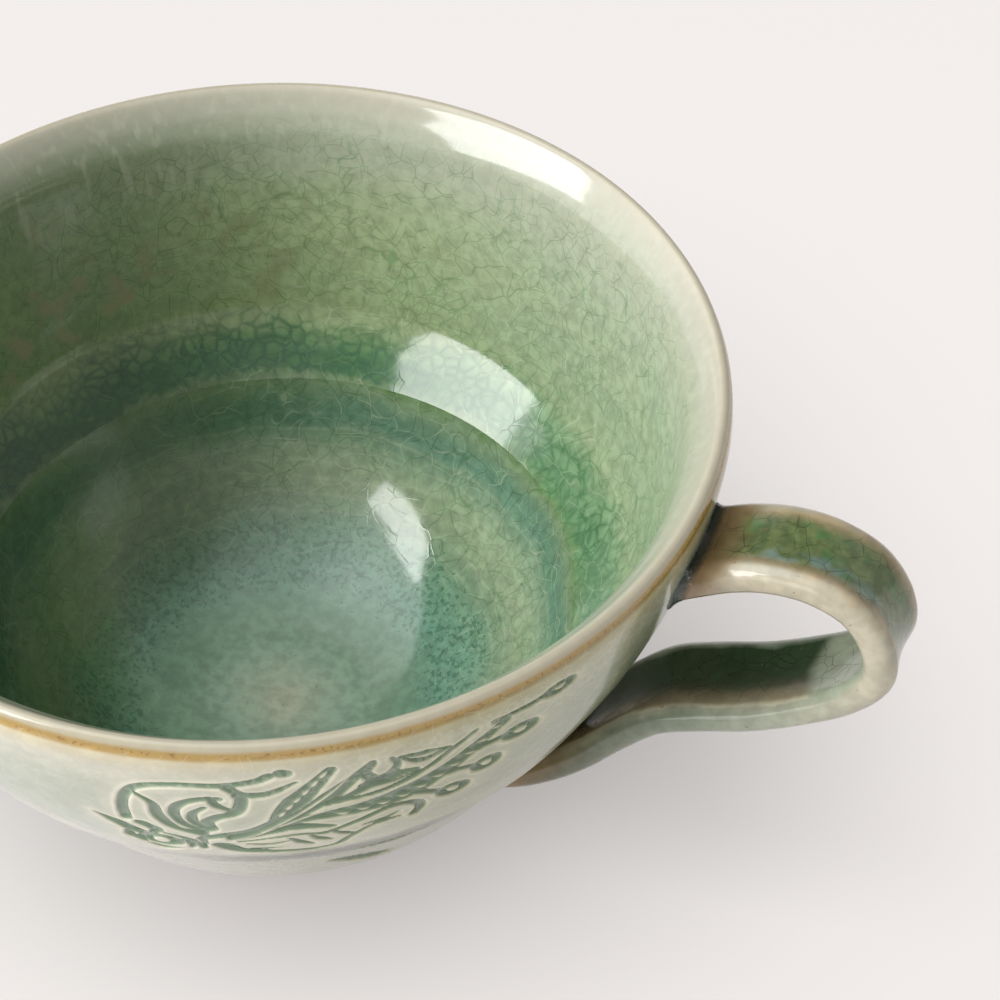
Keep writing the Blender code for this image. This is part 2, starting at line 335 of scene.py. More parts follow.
def new_piece(name, points, faces, node, material, marks, creased):
    """A closed mesh that stands for a CAD node. marks are values at its points, for its material, and
    an edge between two creased points is sharp."""
    mesh = bpy.data.meshes.new(name)
    mesh.from_pydata((points * MM).tolist(), [], faces)
    shape = bmesh.new()
    shape.from_mesh(mesh)
    bmesh.ops.recalc_face_normals(shape, faces=shape.faces)
    shape.to_mesh(mesh)
    shape.free()
    for mark, values in marks.items():
        mesh.attributes.new(mark, "FLOAT", "POINT").data.foreach_set("value", values.astype(np.float32))
    mesh.shade_smooth()
    ends = np.empty(len(mesh.edges) * 2, np.int32)
    mesh.edges.foreach_get("vertices", ends)
    sharp = creased[ends.reshape(-1, 2)].all(axis=1)
    mesh.attributes.new("sharp_edge", "BOOLEAN", "EDGE").data.foreach_set("value", sharp)
    mesh.materials.append(material)
    piece = bpy.data.objects.new(name, mesh)
    bpy.context.scene.collection.objects.link(piece)
    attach(piece, "root")
    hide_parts(node)
    return piece


def turned(profile, degrees, lift=0.0):
    """Places of a profile of radius and height turned to these angles, raised along its normal."""
    along = np.gradient(profile, lengths(profile), axis=0)
    along /= np.linalg.norm(along, axis=1)[:, None]
    angle = np.radians(degrees)[None, :]
    radius = profile[:, :1] + along[:, 1:] * lift + np.zeros_like(angle)
    height = profile[:, 1:] - along[:, :1] * lift + np.zeros_like(angle)
    return np.stack([AXIS_X + radius * np.cos(angle), radius * np.sin(angle), height], -1)


def ring_piece(name, front, back, degrees, node, material, lift=0.0, marks=()):
    """A closed piece of the cup's wall: a fine front, and a plain back inside the wall. The front
    runs so that its visible side is on the right of the way it goes, seen with the axis on the left."""
    wrapped = abs(degrees[-1] - degrees[0]) > 359
    around = degrees[:-1] if wrapped else degrees
    columns, rows = len(around), len(front)
    grid = np.concatenate([turned(front, around, lift), turned(np.array(back, float), around)])
    total = len(grid)
    faces = grid_faces(total, columns, wrapped, looped=True)
    creased = np.ones((total, columns), bool)
    creased[1 : rows - 1] = False
    if not wrapped:
        faces.append([i * columns for i in range(total)])
        faces.append([i * columns + columns - 1 for i in range(total)])
        creased[:, 0] = creased[:, -1] = True
    if front[-1][0] < 0.01:
        creased[rows - 1] = False
    values = {}
    for mark, value in dict(marks).items():
        whole = np.repeat(np.broadcast_to(value, (rows, columns))[-1:], total, axis=0)
        whole[:rows] = value
        values[mark] = whole.reshape(-1)
    kept, faces = merge_poles(grid.reshape(-1, 3), faces)
    values = {mark: value[kept] for mark, value in values.items()}
    points = grid.reshape(-1, 3)[kept]
    return new_piece(name, points, faces, node, material, values, creased.reshape(-1)[kept])


def loft_piece(name, rings, node, material, marks=()):
    """A closed piece through rings of equal numbers of places, with a flat end at each."""
    rows, columns = rings.shape[:2]
    faces = grid_faces(rows, columns, True)
    faces.append(list(range(columns)))
    faces.append([(rows - 1) * columns + j for j in range(columns)])
    creased = np.zeros((rows, columns), bool)
    creased[0] = creased[-1] = True
    marks = {mark: np.broadcast_to(value, (rows, columns)).reshape(-1) for mark, value in dict(marks).items()}
    return new_piece(name, rings.reshape(-1, 3), faces, node, material, marks, creased.reshape(-1))


# ---------------------------------------------------------------- the bowl


def round_the_cup(start, end, gap):
    """Angles from start to end, about this many mm apart on the wall."""
    count = round(abs(end - start) * SPRAY_SCALE / gap)
    return np.linspace(start, end, count + 1)


def handle_side(degrees):
    """Degrees round the cup from the handle, on either side, as a share of the half turn."""
    return np.abs((degrees + 180) % 360 - 180) / 180


def painted_shade_side(degrees, run):
    """Painted shade inside, partly a darker glaze tint too: the side of the wall that the light doesn't reach,
    not the lip nor the floor.
    """
    return ease(degrees, 88, 150) * (1 - ease(degrees, 215, 265)) * ease(run, 0.5, 9) * (1 - ease(run, 58, 70))


def painted_light_side(degrees, run):
    """Painted light inside: the side by the handle, which faces the light."""
    return (1 - ease(np.abs((degrees - 25 + 180) % 360 - 180), 32, 72)) * np.ones(run.shape)


def thrown_lift(places):
    """The slow waves that a thrown wall keeps, in mm."""
    return 0.025 * waves(places, 13, 1) + 0.003 * waves(places, 4, 2)


def make_inside(material):
    """The lip and the wall down to the ledge, and the well below it."""
    upper = spread(smooth_line([BROWN_LINE, *LIP, *INNER_WALL, *SHELF, LEDGE]), 0.5)
    degrees = round_the_cup(0, 360, 0.55)
    lift = thrown_lift(turned(upper, degrees[:-1]))
    lift *= ease(lengths(upper), 1, 5)[:, None]
    lift[-1] = 0
    run = lengths(upper)[:, None] + np.zeros(len(degrees) - 1)
    back = [(35.6, 27.9), (40.0, 32.6), (42.6, 38.4), (45.2, 47.5), (47.3, 56.5), (48.1, 60.8)]
    marks = {"run": run, "shade": painted_shade_side(degrees[:-1], run), "lit_side": painted_light_side(degrees[:-1], run)}
    ring_piece("bowl_inside_wall", upper, back, degrees, "cup_bowl", material, lift, marks)
    lower = spread(smooth_line([LEDGE, *WELL, FLOOR_CENTRE]), 0.5)
    lift = thrown_lift(turned(lower, degrees[:-1]))
    lift *= ease(lower[:, 0], 0, 3)[:, None]
    lift[0] = 0
    run = run[-1, 0] + lengths(lower)[:, None] + np.zeros(len(degrees) - 1)
    back = [(0.0, 8.0), (10.0, 8.3), (17.6, 10.2), (24.2, 14.9), (30.0, 20.4), (33.2, 24.3), (35.6, 27.9)]
    marks = {"run": run, "shade": painted_shade_side(degrees[:-1], run), "lit_side": painted_light_side(degrees[:-1], run)}
    ring_piece("bowl_well", lower, back, degrees, "cup_bowl", material, lift, marks)


def make_outside(material):
    """The outer wall in four stretches, carved on both sides of the handle."""
    stretches = [
        ("carved_wall_near", CARVED[0], CARVED[1], 1),
        ("wall_at_handle", CARVED[1], -CARVED[1], 0),
        ("carved_wall_far", -CARVED[1], -CARVED[0], -1),
        ("wall_opposite_handle", -CARVED[0], 360 + CARVED[0], 0),
    ]
    back = [(41.9, 34.9), (41.2, 35.1), (43.0, 41.8), (46.0, 51.0), (47.9, 59.0), (48.6, 61.6)]
    for name, start, end, carved in stretches:
        wall = spread(smooth_line([BROWN_LINE, *OUTER_WALL, RIDGE]), 0.19 if carved else 0.45)
        degrees = round_the_cup(start, end, 0.16 if carved else 0.5)
        down = lengths(wall)[:, None] + np.zeros_like(degrees)
        across = degrees[None, :] + np.zeros_like(down)
        if carved:
            lift, marks = spray_relief(across * carved, down)
        else:
            lift, marks = np.zeros_like(down), {}
        marks |= {"run": down, "side": handle_side(across)}
        ring_piece(name, wall, back, degrees, "cup_bowl", material, -lift, marks)


def make_belly(material):
    """The wall under the ridge, with its leaf cuts, and the underside."""
    belly = spread(smooth_line([RIDGE, *BELLY, *UNDERSIDE, UNDERSIDE_CENTRE]), 0.45)
    degrees = round_the_cup(0, 360, 0.5)
    run = lengths(belly)[:, None] + np.zeros(len(degrees) - 1)
    across = (degrees[None, :-1] + 180) % 360 - 180 + np.zeros_like(run)
    outside = np.full(run.shape, 1e3)
    for (angle, down), half, tilt in BELLY_LEAVES:
        x = (-np.abs(across) - angle) * SPRAY_SCALE * 0.85
        outside = np.minimum(outside, distance_to_oval(x, run, (0, down), half, tilt))
    lift, marks = relief(outside, np.full(run.shape, 1e3))
    back = [(0.0, 7.6), (11.6, 7.6), (19.4, 9.4), (25.4, 14.2), (30.4, 20.0), (35.0, 26.4)]
    back += [(41.2, 35.1), (41.9, 34.9)]
    marks |= {"run": run, "side": handle_side(across)}
    ring_piece("bowl_belly", belly, back, degrees, "cup_bowl", material, -lift, marks)


def make_foot(material):
    foot = spread(smooth_line(FOOT), 0.25)
    degrees = round_the_cup(0, 360, 1.2)
    ring_piece("turned_foot", foot, [(17.0, 6.4), (19.0, 6.4)], degrees, "foot_ring", material)


# ---------------------------------------------------------------- the handle


def strap_half_thickness(across):
    """Half the strap's thickness at places across it, from 0 in the middle to 1 at an edge."""
    rounded = np.sqrt(np.maximum(0, 1 - across**6))
    hollow = CHANNEL_DEPTH * np.cos(np.minimum(across / 0.72, 1) * math.pi / 2) ** 0.8
    return rounded * STRAP_THICKNESS / 2 - hollow


def strap_section(count):
    """Offsets round the strap as shares of its width and mm out, and how far each is across it."""
    turn = np.linspace(0, math.pi, count // 2 + 1)[:-1]
    across = -np.cos(turn)
    out = strap_half_thickness(np.abs(across))
    return np.concatenate([across, -across]), np.concatenate([out, -out])


def strap_rings(ring_gap, count):
    """Rings of the whole strap, with each ring's share of the handle's line."""
    line = spread(smooth_line(HANDLE_LINE, 24), ring_gap)
    share = np.linspace(0, 1, len(line))
    along = np.gradient(line, axis=0)
    along /= np.linalg.norm(along, axis=1)[:, None]
    widths = smooth_line(STRAP_WIDTHS)
    width = np.interp(share, widths[:, 0], widths[:, 1])
    across, out = strap_section(count)
    x = AXIS_X + line[:, :1] - along[:, 1:] * out
    z = line[:, 1:] + along[:, :1] * out
    y = -width[:, None] / 2 * across + np.zeros_like(x)
    return np.stack([x, y, z], -1), share, across, out


def from_wall(places):
    """How far places lie outside the bowl's outer wall, level with it."""
    outer = smooth_line([BROWN_LINE, *OUTER_WALL, RIDGE, *BELLY, *UNDERSIDE])
    order = np.argsort(outer[:, 1])
    wall = np.interp(places[..., 2], outer[order, 1], outer[order, 0])
    return np.hypot(places[..., 0] - AXIS_X, places[..., 1]) - wall


def make_handle(material):
    rings, share, across, out = strap_rings(0.35, 96)
    clear = from_wall(rings).max(axis=1) > -0.8
    first, last = np.argmax(clear), len(clear) - np.argmax(clear[::-1])
    rings, share = rings[first:last], share[first:last]
    marks = {
        "share": share[:, None] + np.zeros(rings.shape[:2]),
        "across": across[None, :] + np.zeros(rings.shape[:2]),
        "outer": np.sign(out)[None, :] + np.zeros(rings.shape[:2]),
        "gap": from_wall(rings),
    }
    loft_piece("pulled_handle", rings, "handle", material, marks)


def make_joint(name, node, material, from_top, reach, swell):
    """A collar of slip and pooled glaze that hugs the strap from inside the wall to its thin edge."""
    rings, _, across, _ = strap_rings(0.2, 96)
    if not from_top:
        rings = rings[::-1]
    gaps = from_wall(rings)
    centre = rings.mean(axis=1, keepdims=True)
    normal = rings - centre
    normal /= np.linalg.norm(normal, axis=2)[..., None]
    steps = np.linspace(0, 1, 20) ** 1.3
    start = -0.9  # mm outside the wall, so inside it
    collar = []
    for step in steps:
        distance = start + (reach - start) * step
        ring = []
        for k in range(rings.shape[1]):
            after = np.argmax(gaps[:, k] > distance)
            before = max(after - 1, 0)
            rise = gaps[after, k] - gaps[before, k]
            part = (distance - gaps[before, k]) / rise if rise > 1e-6 else 0.0
            place = rings[before, k] + (rings[after, k] - rings[before, k]) * part
            grow = 0.04 + swell * max(0.0, 1 - max(distance, 0) / reach) ** 2.4
            ring.append(place + normal[after, k] * grow)
        collar.append(ring)
    collar = np.array(collar)
    marks = {"edge": steps[:, None] + np.zeros(collar.shape[:2])}
    loft_piece(name, collar, node, material, marks)


# ---------------------------------------------------------------- materials


class Glaze:
    """A material's nodes, made one call at a time. Lengths are in mm, and colours are linear."""

    def __init__(self, name, roughness, ior):
        self.material = bpy.data.materials.new(name)
        self.material.use_nodes = True
        self.tree = self.material.node_tree
        self.shader = self.tree.nodes["Principled BSDF"]
        self.shader.inputs["Roughness"].default_value = roughness
        self.shader.inputs["IOR"].default_value = ior
        coordinates = self.node("ShaderNodeTexCoord").outputs["Object"]
        self.places = self.vector("MULTIPLY", coordinates, (1000, 1000, 1000))
        bend = self.node("ShaderNodeTexNoise", {"Vector": self.places, "Scale": 0.13, "Detail": 1.5})
        self.bend = self.vector("SUBTRACT", bend.outputs["Color"], (0.5, 0.5, 0.5))

    def node(self, kind, inputs=(), **settings):
        made = self.tree.nodes.new(kind)
        for setting, value in settings.items():
            setattr(made, setting, value)
        for socket, value in dict(inputs).items():
            self.feed(made.inputs[socket], value)
        return made

    def feed(self, socket, value):
        if isinstance(value, bpy.types.NodeSocket):
            self.tree.links.new(value, socket)
        elif socket.type == "RGBA":
            socket.default_value = (*value, 1)
        else:
            socket.default_value = value

    def vector(self, operation, *values):
        return self.node("ShaderNodeVectorMath", enumerate(values), operation=operation).outputs[0]

    def math(self, operation, *values):
        return self.node("ShaderNodeMath", enumerate(values), operation=operation).outputs[0]

    def mark(self, name):
        return self.node("ShaderNodeAttribute", attribute_name=name).outputs["Fac"]

    def band(self, value, low, high, bottom=0.0, top=1.0):
        """From bottom to top as the value goes smoothly from low to high."""
        inputs = {"Value": value, "From Min": low, "From Max": high, "To Min": bottom, "To Max": top}
        return self.node("ShaderNodeMapRange", inputs, interpolation_type="SMOOTHSTEP").outputs["Result"]

    def between(self, value, start, full, fall, end):
        """1 from full to fall, and 0 before start and after end."""
        return self.math("MULTIPLY", self.band(value, start, full), self.band(value, fall, end, 1.0, 0.0))

    def noise(self, size, seed, detail=2.0, stretch=(1, 1, 1)):
        """Smooth noise, about 0.5, with bumps of this size."""
        moved = self.vector("MULTIPLY_ADD", self.places, stretch, (seed * 97, seed * 31, seed * 53))
        inputs = {"Vector": moved, "Scale": 1 / size, "Detail": detail}
        return self.node("ShaderNodeTexNoise", inputs).outputs["Fac"]

    def wander(self, size, seed, reach, detail=2.0):
        """Noise from about -reach to reach."""
        return self.math("MULTIPLY", self.math("SUBTRACT", self.noise(size, seed, detail), 0.5), 2.6 * reach)

    def cracks(self, size, seed, bend, stretch=(1, 1, 1)):
        """How far each place is from a net of cracks, as a share of its cells' size."""
        moved = self.vector("MULTIPLY_ADD", self.places, stretch, (seed * 61, seed * 83, seed * 29))
        moved = self.vector("MULTIPLY_ADD", self.bend, (bend, bend, bend), moved)
        inputs = {"Vector": moved, "Scale": 1 / size}
        cells = self.node("ShaderNodeTexVoronoi", inputs, feature="DISTANCE_TO_EDGE")
        return cells.outputs["Distance"]

    def specks(self, size, seed, amount):
        """Small spots, more of them the greater the amount from 0 to 1."""
        limit = self.math("SUBTRACT", 0.82, self.math("MULTIPLY", amount, 0.32))
        noise = self.noise(size, seed, 1.5)
        return self.band(self.math("SUBTRACT", noise, limit), 0.0, 0.05)

    def ramp(self, value, stops):
        """Colour at a value, from pairs of a value and its colour."""
        low, high = stops[0][0], stops[-1][0]
        made = self.node("ShaderNodeValToRGB")
        self.feed(made.inputs["Fac"], self.math("DIVIDE", self.math("SUBTRACT", value, low), high - low))
        elements = made.color_ramp.elements
        for place, colour in stops[1:-1]:
            elements.new((place - low) / (high - low))
        for element, (place, colour) in zip(elements, stops):
            element.color = (*colour, 1)
        return made.outputs["Color"]

    def mix(self, first, second, share, blend="MIX"):
        made = self.node("ShaderNodeMix", data_type="RGBA", blend_type=blend)
        factor, a, b = made.inputs[0], made.inputs[6], made.inputs[7]
        self.feed(factor, share)
        self.feed(a, first)
        self.feed(b, second)
        return made.outputs[2]

    def tint(self, colour, tint, share):
        """The colour multiplied by a tint, by this share."""
        return self.mix(colour, tint, share, "MULTIPLY")

    def scale(self, colour, level):
        """The colour made lighter or darker by a level."""
        grey = self.node("ShaderNodeCombineColor", {0: level, 1: level, 2: level}).outputs[0]
        return self.mix(colour, grey, 1.0, "MULTIPLY")

    def finish(self, colour, height, depth):
        """Colour and a bump of this many mm go to the shader."""
        self.feed(self.shader.inputs["Base Color"], colour)
        bump = self.node("ShaderNodeBump", {"Height": height, "Distance": depth * MM, "Strength": 1.0})
        self.feed(self.shader.inputs["Normal"], bump.outputs["Normal"])
        return self.material


# Glaze colours by mm down the profile from the brown line.
INSIDE_COLOURS = [
    (0.0, (0.38, 0.245, 0.065)), (0.35, (0.38, 0.265, 0.10)),
    (0.65, (0.44, 0.40, 0.295)), (3.0, (0.43, 0.42, 0.34)),
    (5.5, (0.38, 0.40, 0.31)), (10.0, (0.42, 0.46, 0.34)),
    (15.0, (0.36, 0.43, 0.265)), (20.0, (0.34, 0.41, 0.235)),
    (26.0, (0.29, 0.37, 0.205)), (31.5, (0.26, 0.335, 0.17)),
    (34.0, (0.13, 0.24, 0.095)), (36.0, (0.045, 0.155, 0.045)),
    (38.2, (0.035, 0.14, 0.04)), (38.9, (0.12, 0.21, 0.085)),
    (40.2, (0.18, 0.26, 0.15)), (42.0, (0.13, 0.225, 0.145)),
    (44.0, (0.10, 0.20, 0.135)), (46.5, (0.17, 0.26, 0.17)),
    (49.0, (0.24, 0.32, 0.20)), (52.0, (0.24, 0.31, 0.19)),
    (55.0, (0.18, 0.265, 0.165)), (58.0, (0.15, 0.275, 0.185)),
    (63.0, (0.15, 0.29, 0.215)), (67.0, (0.165, 0.29, 0.205)),
    (71.0, (0.20, 0.31, 0.22)), (75.0, (0.29, 0.40, 0.31)),
    (78.5, (0.35, 0.43, 0.33)), (81.0, (0.42, 0.45, 0.355)),
]
WALL_COLOURS = [
    (0.0, (0.38, 0.245, 0.065)), (0.4, (0.38, 0.255, 0.08)),
    (0.8, (0.52, 0.46, 0.32)), (3.0, (0.48, 0.47, 0.39)),
    (6.0, (0.41, 0.43, 0.35)), (12.0, (0.345, 0.38, 0.305)),
    (20.0, (0.395, 0.43, 0.355)), (25.0, (0.55, 0.55, 0.48)),
    (28.0, (0.58, 0.57, 0.51)),
]
BELLY_COLOURS = [
    (0.0, (0.54, 0.54, 0.49)), (6.0, (0.55, 0.55, 0.49)),
    (14.0, (0.58, 0.58, 0.51)), (26.0, (0.52, 0.52, 0.44)),
    (34.0, (0.40, 0.40, 0.31)), (60.0, (0.45, 0.45, 0.35)),
]


def ochre_specks(glaze, colour, run):
    """Iron specks in the brown line under the lip."""
    line = glaze.math("MULTIPLY", glaze.noise(0.5, 21, 2.0), glaze.band(run, 0.2, 0.7, 1.0, 0.0))
    return glaze.mix(colour, (0.22, 0.12, 0.03), glaze.band(line, 0.5, 0.7, 0.0, 0.8))


def make_inside_glaze():
    glaze = Glaze("inside_glaze", 0.09, 1.62)
    run, shade = glaze.mark("run"), glaze.mark("shade")
    broad = glaze.noise(11, 1)
    calm = glaze.band(run, 4.0, 24.0, 0.06, 1.0)
    drift = glaze.math("MULTIPLY", glaze.math("SUBTRACT", broad, 0.5), 4.5)
    edge_of_pool = glaze.math("MULTIPLY", glaze.math("ADD", drift, glaze.wander(1.6, 2, 1.0)), calm)
    place = glaze.math("ADD", run, edge_of_pool)
    colour = glaze.ramp(place, INSIDE_COLOURS)
    # painted light on the side by the handle, which faces the light: a paler pool where a streak of light is
    # reflected, a brighter well and a bluer wall
    lit_side = glaze.mark("lit_side")
    thin = glaze.math("MULTIPLY", glaze.between(place, 31, 34, 38, 39.5), lit_side)
    colour = glaze.mix(colour, (0.20, 0.31, 0.165), glaze.math("MULTIPLY", thin, 0.55))
    lit = glaze.math("MULTIPLY", glaze.between(run, 41, 45, 58, 70), lit_side)
    colour = glaze.scale(colour, glaze.math("MULTIPLY_ADD", lit, 0.15, 1.0))
    cool = glaze.math("MULTIPLY", lit_side, glaze.between(run, 8, 18, 37, 40))
    colour = glaze.tint(colour, (0.98, 0.98, 1.13), cool)
    # thin rings that the wheel left in the well
    turns = glaze.math("SINE", glaze.math("MULTIPLY_ADD", run, 3.1, glaze.math("MULTIPLY", broad, 9.0)))
    rings = glaze.math("MULTIPLY", glaze.band(turns, 0.6, 1.0), glaze.between(run, 42, 46, 55, 60))
    colour = glaze.mix(colour, (0.36, 0.42, 0.30), glaze.math("MULTIPLY", rings, 0.2))
    # mottling, and a net of cracks that fills with deep green where the glaze pools
    mottle = glaze.band(glaze.noise(1.4, 4, 2.0), 0.3, 0.7, 0.87, 1.12)
    colour = glaze.scale(colour, glaze.math("POWER", mottle, glaze.band(run, 3, 16, 0.2, 1.0)))
    patchy = glaze.band(broad, 0.36, 0.52, 0.6, 1.0)
    pooled = glaze.math("MULTIPLY", glaze.between(place, 29, 35.5, 38, 39.5), patchy)
    # less deep green in the pool on the side that faces the light, painted light
    pooled = glaze.math("MULTIPLY", pooled, glaze.band(lit_side, 0.0, 1.0, 1.0, 0.55))
    gaps = glaze.cracks(1.7, 2, 3.0)
    small = glaze.band(gaps, 0.0, 0.05, 1.0, 0.0)
    filaments = glaze.math("MULTIPLY", glaze.band(gaps, 0.02, 0.26, 1.0, 0.0), pooled)
    colour = glaze.mix(colour, (0.015, 0.105, 0.035), glaze.math("MULTIPLY", filaments, 0.8))
    amount = glaze.math("MULTIPLY", glaze.between(place, 54, 58, 64, 68), 0.6)
    amount = glaze.math("ADD", amount, glaze.band(run, 12, 34, 0.05, 0.3))
    colour = glaze.mix(colour, (0.02, 0.10, 0.045), glaze.math("MULTIPLY", glaze.specks(0.7, 6, amount), 0.42))
    # larger cracks, broken off here and there, and pale ones with long strands
    broken = glaze.noise(3.1, 11, 1.0)
    wide = glaze.band(glaze.cracks(3.2, 1, 7.0), 0.0, 0.036, 1.0, 0.0)
    wide = glaze.math("MULTIPLY", wide, glaze.band(broken, 0.36, 0.5))
    strands = glaze.band(glaze.cracks(4.2, 3, 9.0, (1, 1, 1.9)), 0.0, 0.03, 1.0, 0.0)
    strands = glaze.math("MULTIPLY", strands, glaze.band(broken, 0.56, 0.42, 0.25, 1.0))
    body = glaze.math("MULTIPLY", glaze.band(run, 3, 11), glaze.band(run, 54, 72, 1.0, 0.2))
    small = glaze.math("MULTIPLY", small, glaze.band(broad, 0.42, 0.6, 0.3, 0.9))
    dark_lines = glaze.math("MULTIPLY", glaze.math("MAXIMUM", wide, small), body)
    colour = glaze.tint(colour, (0.42, 0.60, 0.44), glaze.math("MULTIPLY", dark_lines, 0.6))
    strands = glaze.math("MULTIPLY", strands, glaze.band(pooled, 0.1, 0.8, 1.0, 0.3))
    pale_lines = glaze.math("MULTIPLY", strands, glaze.math("MULTIPLY", body, 0.36))
    colour = glaze.mix(colour, (0.46, 0.52, 0.36), pale_lines)
    # painted shade, with a darker glaze tint, on the side that the light doesn't reach, and brownish clouds
    # there
    colour = glaze.tint(colour, (0.36, 0.42, 0.30), shade)
    # painted shade in the well below the ledge, on that side
    painted_shade_below_ledge = glaze.math("MULTIPLY", shade, glaze.between(run, 38, 41, 50, 60))
    colour = glaze.tint(colour, (0.68, 0.76, 0.74), painted_shade_below_ledge)
    clouds = glaze.math("MULTIPLY", glaze.band(glaze.noise(6, 8), 0.52, 0.68), shade)
    clouds = glaze.math("MULTIPLY", clouds, glaze.between(run, 8, 16, 28, 32))
    colour = glaze.mix(colour, (0.17, 0.16, 0.08), clouds)
    # fine streaks down from the lip
    streaks = glaze.band(glaze.noise(1.1, 9, 1.0, (1, 1, 0.12)), 0.52, 0.7)
    streaks = glaze.math("MULTIPLY", streaks, glaze.between(run, 1, 3, 8, 18))
    colour = glaze.mix(colour, (0.50, 0.50, 0.40), glaze.math("MULTIPLY", streaks, 0.22))
    colour = ochre_specks(glaze, colour, run)
    height = glaze.math("MULTIPLY", glaze.math("SUBTRACT", 1.0, wide), body)
    return glaze.finish(colour, height, 0.0035)


def make_outside_glaze(name, colours, below_ridge):
    glaze = Glaze(name, 0.14, 1.6)
    run, side = glaze.mark("run"), glaze.mark("side")
    place = glaze.math("ADD", run, glaze.wander(3, 1, 0.1))
    colour = glaze.ramp(place, colours)
    # greener on the far side from the handle, and darker and yellower towards the handle, which is painted
    # shade where the wall turns from the light
    painted_shade_by_handle = glaze.band(side, 0.2, 0.44, 1.0, 0.0)
    colour = glaze.tint(colour, (0.80, 0.92, 0.80), glaze.band(side, 0.52, 0.72))
    # cream on the lands of the spray, paler on its raised edges where the glaze breaks thin and partly as a
    # painted highlight, and sage glaze pooled in the cuts
    colour = glaze.mix(colour, (0.56, 0.54, 0.43), glaze.math("MULTIPLY", glaze.mark("land"), 0.85))
    colour = glaze.mix(colour, (0.66, 0.63, 0.51), glaze.math("MULTIPLY", glaze.mark("burr"), 0.7))
    pool = glaze.math("ADD", glaze.mark("pool"), glaze.wander(2.2, 2, 0.12))
    sage = glaze.ramp(pool, [
        (0.1, (0.42, 0.45, 0.33)), (0.35, (0.22, 0.29, 0.19)),
        (0.68, (0.135, 0.205, 0.13)), (1.0, (0.055, 0.11, 0.06)),
    ])
    colour = glaze.mix(colour, sage, glaze.band(pool, 0.08, 0.35))
    # glaze that ran down and pooled at the ridge, on the carved side
    wander = glaze.wander(5, 3, 0.9)
    ran = glaze.math("ADD", run, wander)
    if below_ridge:
        pooled = glaze.band(ran, 4.0, 7.5, 1.0, 0.0)
    else:
        pooled = glaze.band(ran, 24.5, 27.6)
    pooled = glaze.math("MULTIPLY", pooled, glaze.between(side, 0.19, 0.24, 0.34, 0.50))
    colour = glaze.mix(colour, (0.03, 0.055, 0.028), glaze.math("MULTIPLY", pooled, 0.92))
    # painted shade towards the handle, where the wall turns from the light
    colour = glaze.tint(colour, (0.70, 0.72, 0.58), painted_shade_by_handle)
    if not below_ridge:
        # painted shade on the lower wall beside the handle
        dim = glaze.math("MULTIPLY", glaze.band(run, 12, 24), glaze.band(side, 0.2, 0.32, 1.0, 0.0))
        colour = glaze.tint(colour, (0.68, 0.66, 0.5), dim)
    if below_ridge:
        # painted shade on the belly towards the handle, away from the light
        colour = glaze.tint(colour, (0.62, 0.66, 0.56), glaze.band(side, 0.28, 0.5, 1.0, 0.0))
    # crackle, pale flecks and mottling
    lines = glaze.band(glaze.cracks(2.8, 4, 3.5), 0.0, 0.03, 1.0, 0.0)
    lines = glaze.math("MULTIPLY", lines, glaze.band(pool, 0.1, 0.3, 0.2, 0.0))
    colour = glaze.mix(colour, (0.58, 0.58, 0.50), lines)
    flecks = glaze.specks(0.7, 5, glaze.between(run, 0.5, 2, 6, 10))
    colour = glaze.mix(colour, (0.60, 0.59, 0.52), glaze.math("MULTIPLY", flecks, 0.16))
    mottle = glaze.band(glaze.noise(2.4, 6, 2.0), 0.3, 0.7, 0.93, 1.06)
    colour = glaze.scale(colour, mottle)
    if not below_ridge:
        colour = ochre_specks(glaze, colour, run)
    height = glaze.noise(2.0, 7)
    return glaze.finish(colour, height, 0.012)


